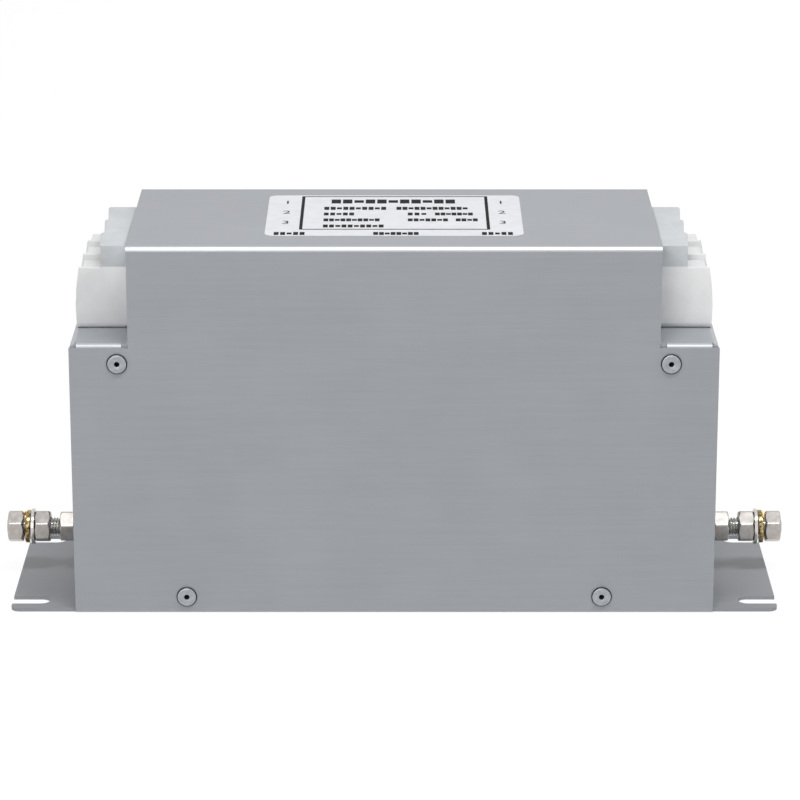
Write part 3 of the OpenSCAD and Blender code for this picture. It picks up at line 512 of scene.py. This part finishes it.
def plain_washer(name):
    """The rounded section turned once about the stud's axis."""
    low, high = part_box(name)
    outer = (high[2] - low[2]) / 2
    section = round_section(low[0], high[0], STUD_RADIUS + WASHER_CLEARANCE, outer, TUMBLED_EDGE)
    angles = around(120)
    grid = turned(section[:, :1], section[:, 1:] + 0 * angles, angles, STUD_HEIGHT)
    washer = surface(f"{name}_tumbled", grid, True, washer_steel, 50)
    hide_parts(name)
    return 2 * outer


for end in ("line", "load"):
    for place in ("wall", "plain"):
        across = plain_washer(f"{end}_{place}_washer")
        print(end, place, "washer:", round(across / MM, 1), "mm across")

# %% [markdown]
# ## Split washers
# A split washer is a bar of rounded section wound almost once round, whose two ends stand
# apart. The lock washer under the inner nut is clamped and lies nearly flat. The spring washer
# between the two outer nuts has sprung back a little.

# %% Split washers
SPLIT_DEGREES = 9
WOUND_CLEARANCE = 0.25 * MM
BAR_EDGE = 0.22 * MM
SPRING_BAR, SPRING_OPENING = 2.0 * MM, 60
LOCK_BAR, LOCK_OPENING = 2.1 * MM, 200


def split_washer(name, bar, opening_degrees, material):
    """A rounded bar section carried along a helix of almost one turn, which climbs by what the
    washer is thicker than its bar."""
    low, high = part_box(name)
    sign = np.sign(low[0])
    x0, x1 = sorted((abs(low[0]), abs(high[0])))
    outer = (high[2] - low[2]) / 2
    section = round_section(0, bar, STUD_RADIUS + WOUND_CLEARANCE, outer, BAR_EDGE)
    turn = np.linspace(0, 1, 73)[:, None]
    angles = np.radians(opening_degrees + SPLIT_DEGREES + turn * (360 - 2 * SPLIT_DEGREES))
    x = x0 + section[None, :, 0] + turn * (x1 - x0 - bar)
    grid = turned(sign * x, section[None, :, 1] + 0 * turn, angles, STUD_HEIGHT)
    washer = surface(f"{name}_wound", grid, False, material, 50)
    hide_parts(name)
    return x1 - x0


for end in ("line", "load"):
    springy = split_washer(f"{end}_spring_washer", SPRING_BAR, SPRING_OPENING, chromated)
    clamped = split_washer(f"{end}_lock_washer", LOCK_BAR, LOCK_OPENING, washer_steel)
    print(end, "split washers:", round(springy / MM, 2), "and", round(clamped / MM, 2), "mm thick")

# %% [markdown]
# ## Blind rivets
# A blind rivet is a tube with a flat collar. A steel pin is pulled through it until the tube
# swells behind the sheets and the pin breaks. The broken end stays down in the hole, dark and
# slightly conical, which is why each rivet has a dark eye. The collar is nearly flat with a
# rolled edge. Its rim, where the collar meets the sheet, takes the dark pin finish as painted
# shade, a thin dark ring round it. The four rivets of a side are one profile of collar and tube,
# turned about each rivet's axis. A profile is a list of radius and height in millimetres: the
# collar's heights are counted from the sheet, and the tube's from its own tail.

# %% Blind rivets with their broken pins
EYE = [[0.0, -2.6], [1.12, -2.6], [1.12, 0.7], [1.2, 0.92], [1.4, 1.0]]
TOP = [[3.3, 1.1], [3.75, 1.04], [3.98, 0.93]]
RIM = [[4.06, 0.85], [4.4, 0.66], [4.5, 0.48], [4.4, 0.36], [4.0, 0.3]]
UNDERSIDE = [[2.05, 0.15]]
RIVET_COLLAR = np.array(EYE + TOP + RIM + UNDERSIDE) * MM
RIM_ROWS = np.arange(len(RIM) - 1) + len(EYE + TOP)
RIVET_TUBE = np.array([[2.0, 2.8], [2.75, 2.5], [3.0, 1.9], [3.0, 0.9], [2.6, 0.2], [2.2, 0.0],
                       [0.0, 0.0]]) * MM
PIN = np.array([[0.0, -1.3], [0.5, -1.35], [0.95, -1.75], [1.05, -2.0], [1.05, -3.6],
                [0.0, -3.6]]) * MM
COLLAR_HEIGHT = 1.1 * MM
AXIS_RADIUS = 0.01 * MM
RIVET_STEPS = 48


def rivet_centres(node):
    """Centres (x, z) of a side's four rivets: the middle of the points of each quarter."""
    points = np.empty(len(node.data.vertices) * 3)
    node.data.vertices.foreach_get("co", points)
    points = points.reshape(-1, 3)
    upper = points[:, 2] > points[:, 2].mean()
    right = points[:, 0] > 0
    quarters = [points[a & b][:, [0, 2]] for a in (upper, ~upper) for b in (right, ~right)]
    return [(quarter.min(axis=0) + quarter.max(axis=0)) / 2 for quarter in quarters]


def turned_rivets(name, profile, centres, seat, facing, material):
    """A profile of (radius, height over the seat) turned about Y at each centre, as one piece:
    (x + r cos a, seat + facing * height, z + r sin a)."""
    angles = around(RIVET_STEPS)
    rows = len(profile)
    radius = np.maximum(profile[:, :1], AXIS_RADIUS)
    height = seat + facing * profile[:, 1:] + 0 * angles
    points = [np.stack([x + radius * np.cos(angles), height, z + radius * np.sin(angles)], axis=-1)
              for x, z in centres]
    starts = [number * rows * RIVET_STEPS for number in range(len(centres))]
    quads = [grid_faces(rows, RIVET_STEPS, False) + start for start in starts]
    ends = [end for start in starts for end in end_faces(rows, RIVET_STEPS, start)]
    return new_piece(name, np.concatenate(points).reshape(-1, 3), np.concatenate(quads), ends,
                     material, 35)


def darken_rim(rivets, count, rows, material):
    """Gives the rim's rows of quads a second material, the dark pin finish, as painted shade round
    the collar's edge. The quads come rivet by rivet and row by row, and the end faces after them."""
    mesh = rivets.data
    is_rim = np.zeros(len(mesh.polygons), dtype=np.int32)
    row = np.repeat(np.arange(rows - 1), RIVET_STEPS)
    is_rim[:count * len(row)] = np.tile(np.isin(row, RIM_ROWS), count)
    mesh.materials.append(material)
    mesh.polygons.foreach_set("material_index", is_rim)
    return int(is_rim.sum())


for side, facing in (("front", -1), ("rear", 1)):
    low, high = (corner[1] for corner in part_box(f"{side}_rivets"))
    face, tail = (high, low) if facing > 0 else (low, high)
    seat = face - facing * COLLAR_HEIGHT
    profile = np.concatenate([RIVET_COLLAR, RIVET_TUBE - [0, abs(seat - tail)]])
    centres = rivet_centres(nodes[f"{side}_rivets"])
    rivets = turned_rivets(f"{side}_blind_rivets", profile, centres, seat, facing, rivet_steel)
    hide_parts(f"{side}_rivets")
    # the rim's quads take the dark pin finish: painted shade where the collar meets the sheet
    rim_faces = darken_rim(rivets, len(centres), len(profile), pin_steel_and_rim_shade)
    turned_rivets(f"{side}_rivet_pins", PIN, centres, seat, facing, pin_steel_and_rim_shade)
    print(side, "rivets:", len(centres), "faces:", len(rivets.data.polygons), "rim:", rim_faces)

# %% [markdown]
# ## Soft edges on the mouldings
# A moulded piece has no knife edges. Each housing and guard is copied, its loose triangles
# are welded, its flat faces are joined, and a bevel of a third of a millimetre rounds what
# is sharper than 35 degrees. The long edges that a housing stands on are rounder, 2.5 mm, which
# leaves a dark joint between plastic and sheet. The rounded copy keeps the solid's form.

# %% Mouldings with rounded edges
MOULD_EDGE = 0.35 * MM
HOUSING_FOOT_EDGE = 2.5 * MM
WELD = 0.002 * MM
FLAT_DEGREES, SHARP_DEGREES = 2, 35
LONG_EDGE = 8 * MM
SEAT_TOLERANCE = 0.01 * MM


def rounded_foot(shape, radius):
    """Rounds the long edges that lie in the shape's lowest plane."""
    floor = min(corner.co.z for corner in shape.verts) + SEAT_TOLERANCE
    standing = [edge for edge in shape.edges if edge.calc_length() > LONG_EDGE
                and max(corner.co.z for corner in edge.verts) < floor]
    bmesh.ops.bevel(shape, geom=standing, offset=radius, segments=5, profile=0.5,
                    affect="EDGES", clamp_overlap=False)


def softened(name, width, foot, material):
    """A welded copy of a solid. Its long bottom edges are rounded by foot, where that is not
    zero, and all other sharp edges by width."""
    shape = bmesh.new()
    shape.from_mesh(nodes[name].data)
    bmesh.ops.remove_doubles(shape, verts=shape.verts, dist=WELD)
    bmesh.ops.dissolve_limit(shape, angle_limit=np.radians(FLAT_DEGREES), verts=shape.verts,
                             edges=shape.edges)
    if foot:
        rounded_foot(shape, foot)
    mesh = bpy.data.meshes.new(f"{name}_moulded")
    shape.to_mesh(mesh)
    shape.free()
    mesh.polygons.foreach_set("use_smooth", np.ones(len(mesh.polygons), dtype=bool))
    mesh.materials.append(material)
    piece = bpy.data.objects.new(f"{name}_moulded", mesh)
    bpy.context.scene.collection.objects.link(piece)
    bevel = piece.modifiers.new("mould edges", "BEVEL")
    bevel.width = width
    bevel.segments = 2
    bevel.limit_method = "ANGLE"
    bevel.angle_limit = np.radians(SHARP_DEGREES)
    bevel.harden_normals = True
    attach(piece, "root")
    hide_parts(name)


mouldings = [name for name in nodes if "pole_housing" in name or "touch_guard" in name]
for name in mouldings:
    if "guard" in name:
        softened(name, MOULD_EDGE, 0, grey_polyamide)
    else:
        softened(name, MOULD_EDGE, HOUSING_FOOT_EDGE, white_polyamide)
print("mouldings:", len(mouldings))

# %% [markdown]
# ## The rating label
# The film is a rounded rectangle a fifth of a millimetre thick, cut with a die that draws its
# upper edge in a little. The ink on it is a very thin layer that ends flush with the top of
# the solid label, so the film stops one layer of ink below.

# %% Label film
INK = 0.03 * MM
LABEL_CORNER = 4 * MM
LABEL_EDGE = 0.05 * MM
label_low, label_high = (np.array(corner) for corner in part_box("rating_label"))


def rounded_outline(low, high, corner, inset, z):
    """Points of a rounded rectangle: four quarter circles of radius corner - inset."""
    quarter = np.linspace(0, np.pi / 2, 12)
    half = (high - low) / 2 - corner
    middle = (high + low) / 2
    radius = corner - inset
    arcs = []
    for number, (sx, sy) in enumerate(((1, 1), (-1, 1), (-1, -1), (1, -1))):
        angle = quarter + number * np.pi / 2
        arcs.append(np.stack([middle[0] + sx * half[0] + radius * np.cos(angle),
                              middle[1] + sy * half[1] + radius * np.sin(angle),
                              z + 0 * angle], axis=-1))
    return np.concatenate(arcs)


def label_sheet():
    """A rounded outline at three heights: the foot, the rim, and the top drawn in a little."""
    top = label_high[2] - INK
    heights = ((0, label_low[2]), (0, top - LABEL_EDGE), (LABEL_EDGE, top))
    rows = [rounded_outline(label_low[:2], label_high[:2], LABEL_CORNER, inset, z)
            for inset, z in heights]
    film = surface("rating_label_film", np.stack(rows), False, label_film)
    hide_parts("rating_label")
    return top


ink_floor = label_sheet()
print("label top:", round(ink_floor / MM, 3), "mm")

# %% [markdown]
# ## The label's print
# A rating label gives a name, a type and ratings inside a ruled frame. Here plain blocks stand
# for the letters, in rows as wide and as tall as lines of print, and every third block is
# lower, as a letter without a stem is. A row is written as the Y of its middle, its blocks'
# height and width, and where its words begin and end in X, all in millimetres.

# %% Printed frame and rows of blocks
FRAME_LEFT, FRAME_RIGHT, FRAME_FRONT, FRAME_BACK = -41.3, 41.7, -23.4, 36.4
SIDE_RULE, CROSS_RULE = 1.4, 1.1
BLOCK_SPACING = 1.24
LOW_BLOCK = 0.35
HEADING = (7.2, 4.2)
SUBHEADING = (5.4, 2.2)
SMALL = (5.0, 2.1)
PRINTED_ROWS = [(26.8, HEADING, [(-28, 28)]), (14.3, SUBHEADING, [(-31, -3), (1, 33)]),
                (4.1, SMALL, [(-31, -17), (6, 15), (18, 35)]),
                (-6.4, SMALL, [(-31, -6), (6, 24), (27, 37)]), (-17.2, SMALL, [(-31, -4)]),
                (-30.2, SMALL, [(-52, -38), (-9, 11), (38, 52)])]


def frame_rules():
    """The four rules of the frame as rectangles (x0, y0, x1, y1) in mm."""
    return [(FRAME_LEFT, FRAME_FRONT, FRAME_LEFT + SIDE_RULE, FRAME_BACK),
            (FRAME_RIGHT - SIDE_RULE, FRAME_FRONT, FRAME_RIGHT, FRAME_BACK),
            (FRAME_LEFT, FRAME_FRONT, FRAME_RIGHT, FRAME_FRONT + CROSS_RULE),
            (FRAME_LEFT, FRAME_BACK - CROSS_RULE, FRAME_RIGHT, FRAME_BACK)]


def word_blocks(x0, x1, y, height, width):
    """A word from x0 to x1 as equal steps of blocks, centred on y, every third one lower."""
    number = np.arange(round((x1 - x0) / (width * BLOCK_SPACING)))
    x = x0 + number * (x1 - x0) / len(number)
    half = (height - LOW_BLOCK * height * (number * 5 % 3 == 1)) / 2
    return np.stack([x, y - half, x + width, y + half], axis=-1).tolist()


def printed_rows():
    """All rectangles of the print in mm: the frame, then each row's words."""
    marks = frame_rules()
    for y, (height, width), words in PRINTED_ROWS:
        for x0, x1 in words:
            marks += word_blocks(x0, x1, y, height, width)
    return np.array(marks)


def printed_marks(marks):
    """Each rectangle becomes a flat box of ink; all boxes are worked out as one array."""
    x0, y0, x1, y1 = (marks * MM).T
    low = np.full_like(x0, ink_floor)
    high = low + INK
    corners = [(x0, y0), (x1, y0), (x1, y1), (x0, y1)]
    points = np.stack([np.stack([x, y, z], axis=-1) for z in (low, high) for x, y in corners],
                      axis=1)
    box = np.array([[3, 2, 1, 0], [4, 5, 6, 7], [0, 1, 5, 4], [1, 2, 6, 5], [2, 3, 7, 6],
                    [3, 0, 4, 7]])
    quads = (box[None] + 8 * np.arange(len(marks))[:, None, None]).reshape(-1, 4)
    return new_piece("rating_label_print", points.reshape(-1, 3), quads, [], label_ink)


printed = printed_marks(printed_rows())
print("printed marks:", len(printed.data.polygons) // 6)

# %% [markdown]
# ## Terminal numbers
# The terminals are counted 1 to 3 down both sides of the label, beside the poles. A digit is a
# text that is turned into a mesh first and moved to its place afterwards, so that the place is
# in the mesh, and all six make one piece.

# %% Terminal numbers
NUMBER_SIZE = 7.5 * MM
NUMBER_WELD = 0.001 * MM
NUMBER_X = 47.5
NUMBER_ROWS = ((1, 25), (2, 7), (3, -11))


def terminal_number(text, x, y):
    """A printed digit centred on (x, y) in mm: a text made into a mesh, then moved there."""
    curve = bpy.data.curves.new(f"terminal_number_{text}", "FONT")
    curve.body = text
    curve.size = NUMBER_SIZE
    curve.extrude = INK / 2
    curve.align_x = "CENTER"
    curve.align_y = "CENTER"
    carrier = bpy.data.objects.new("number_carrier", curve)
    bpy.context.scene.collection.objects.link(carrier)
    bpy.context.view_layer.update()
    flat = bpy.data.meshes.new_from_object(carrier)
    bpy.data.objects.remove(carrier)
    flat.transform(Matrix.Translation((x * MM, y * MM, ink_floor + INK / 2)))
    return flat


def terminal_numbers():
    """Digits 1 to 3 beside the poles at both ends, joined into one piece."""
    shape = bmesh.new()
    for x in (-NUMBER_X, NUMBER_X):
        for number, y in NUMBER_ROWS:
            shape.from_mesh(terminal_number(str(number), x, y))
    mesh = bpy.data.meshes.new("rating_label_numbers")
    bmesh.ops.remove_doubles(shape, verts=shape.verts, dist=NUMBER_WELD)
    shape.to_mesh(mesh)
    shape.free()
    mesh.materials.append(label_ink)
    piece = bpy.data.objects.new("rating_label_numbers", mesh)
    bpy.context.scene.collection.objects.link(piece)
    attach(piece, "root")
    return piece


print("number faces:", len(terminal_numbers().data.polygons))

# %% [markdown]
# ## Studio
# The object stands on a white sweep in white surroundings. The camera, mirrors and glass see
# both as plain white, while the light that they give is weaker, so that the lamps shape the
# object. The floor keeps a little of its own shading and with it a soft shadow.

# %% Floor and world
FLOOR_RADIUS = 6
FLOOR_DROP = 0.2 * MM
FLOOR_GLOW = 1.06
GLOW_SHARE = 0.88
FILL_STRENGTH = 0.24
WHITE = linear("#FFFFFF")


def seen_directly(tree):
    """One for camera, mirror and glass rays, which see the background; zero for soft light."""
    path = add_node(tree, "ShaderNodeLightPath")
    mirrored = add_node(tree, "ShaderNodeMath", links={0: path.outputs["Is Camera Ray"],
                                                       1: path.outputs["Is Glossy Ray"]},
                        operation="MAXIMUM")
    seen = add_node(tree, "ShaderNodeMath", links={0: mirrored.outputs["Value"],
                                                   1: path.outputs["Is Transmission Ray"]},
                    operation="MAXIMUM")
    return seen.outputs["Value"]


def white_floor():
    """A large disc under the object: mostly glow for the camera, partly lit for a shadow."""
    bpy.ops.mesh.primitive_circle_add(vertices=96, radius=FLOOR_RADIUS, fill_type="NGON",
                                      location=(0, 0, -FLOOR_DROP))
    floor = bpy.context.object
    floor.name = "floor"
    material = bpy.data.materials.new("white_paper_sweep")
    material.use_nodes = True
    tree = material.node_tree
    tree.nodes.clear()
    lit = add_node(tree, "ShaderNodeBsdfDiffuse", {"Color": linear("#F4F4F4")})
    glow = add_node(tree, "ShaderNodeEmission", {"Color": WHITE, "Strength": FLOOR_GLOW})
    seen = add_node(tree, "ShaderNodeMath", {1: GLOW_SHARE}, {0: seen_directly(tree)},
                    operation="MULTIPLY")
    mix = add_node(tree, "ShaderNodeMixShader", links={0: seen.outputs[0], 1: lit.outputs[0],
                                                       2: glow.outputs[0]})
    add_node(tree, "ShaderNodeOutputMaterial", links={"Surface": mix.outputs[0]})
    floor.data.materials.append(material)


def white_world(strength):
    """Even white surroundings; the camera and reflections see pure white."""
    world = bpy.data.worlds.new("studio")
    bpy.context.scene.world = world
    world.use_nodes = True
    tree = world.node_tree
    tree.nodes.clear()
    soft = add_node(tree, "ShaderNodeBackground", {"Color": WHITE, "Strength": strength})
    white = add_node(tree, "ShaderNodeBackground", {"Color": WHITE, "Strength": 1.0})
    mix = add_node(tree, "ShaderNodeMixShader", links={0: seen_directly(tree), 1: soft.outputs[0],
                                                       2: white.outputs[0]})
    add_node(tree, "ShaderNodeOutputWorld", links={"Surface": mix.outputs[0]})


white_floor()
white_world(FILL_STRENGTH)
print("floor radius:", FLOOR_RADIUS, "m, world strength:", FILL_STRENGTH)

# %% [markdown]
# ## Lamps
# One long soft box hangs overhead and a little in front, 68 degrees up, which draws the bright
# line along the folds and the studs' shadows across the feet. Two weak lamps in front and
# behind fill the rest. The rear one leaves no glints, so that the top stays even.

# %% Lamps
LAMP_TARGET = Vector((0, 0, 0.08))


def soft_light(name, place, width, depth, power, glints=True):
    """A rectangular area light at place, turned to face the object, with or without glints."""
    data = bpy.data.lights.new(name, "AREA")
    data.shape = "RECTANGLE"
    data.size = width
    data.size_y = depth
    data.energy = power
    lamp = bpy.data.objects.new(name, data)
    bpy.context.scene.collection.objects.link(lamp)
    lamp.visible_glossy = glints
    lamp.location = place
    lamp.rotation_euler = (LAMP_TARGET - Vector(place)).to_track_quat("-Z", "Y").to_euler()
    return power


powers = [soft_light("overhead", (0.1, -0.52, 1.38), 1.0, 0.2, 13.5),
          soft_light("front", (-0.5, -1.5, 0.7), 0.8, 0.8, 4),
          soft_light("back", (0.5, 1.6, 0.6), 0.8, 0.8, 6, glints=False)]
print("lamps:", len(powers), "with", sum(powers), "W together")

# %% [markdown]
# ## Camera
# A long lens from in front and a little above: 17 degrees up and 1.6 m away, which is how a
# catalogue shows a box without much perspective. The view transform is the plain one, so that
# a colour comes out as it was written.

# %% Camera
CAMERA_TARGET = Vector((2.55, 0, 81.6)) * MM
CAMERA_DISTANCE = 1610 * MM
CAMERA_RISE = np.radians(17.15)
LENS_PER_SENSOR = 4.504


def add_camera():
    """A camera on a circle round the target, raised by an angle and looking at it."""
    data = bpy.data.cameras.new("camera")
    data.sensor_width = 36
    data.lens = LENS_PER_SENSOR * data.sensor_width
    camera = bpy.data.objects.new("camera", data)
    bpy.context.scene.collection.objects.link(camera)
    back = Vector((0, -np.cos(CAMERA_RISE), np.sin(CAMERA_RISE)))
    camera.location = CAMERA_TARGET + CAMERA_DISTANCE * back
    camera.rotation_euler = (-back).to_track_quat("-Z", "Y").to_euler()
    bpy.context.scene.camera = camera
    return camera


camera = add_camera()
bpy.context.scene.view_settings.view_transform = "Standard"
print("lens:", round(camera.data.lens, 1), "mm")
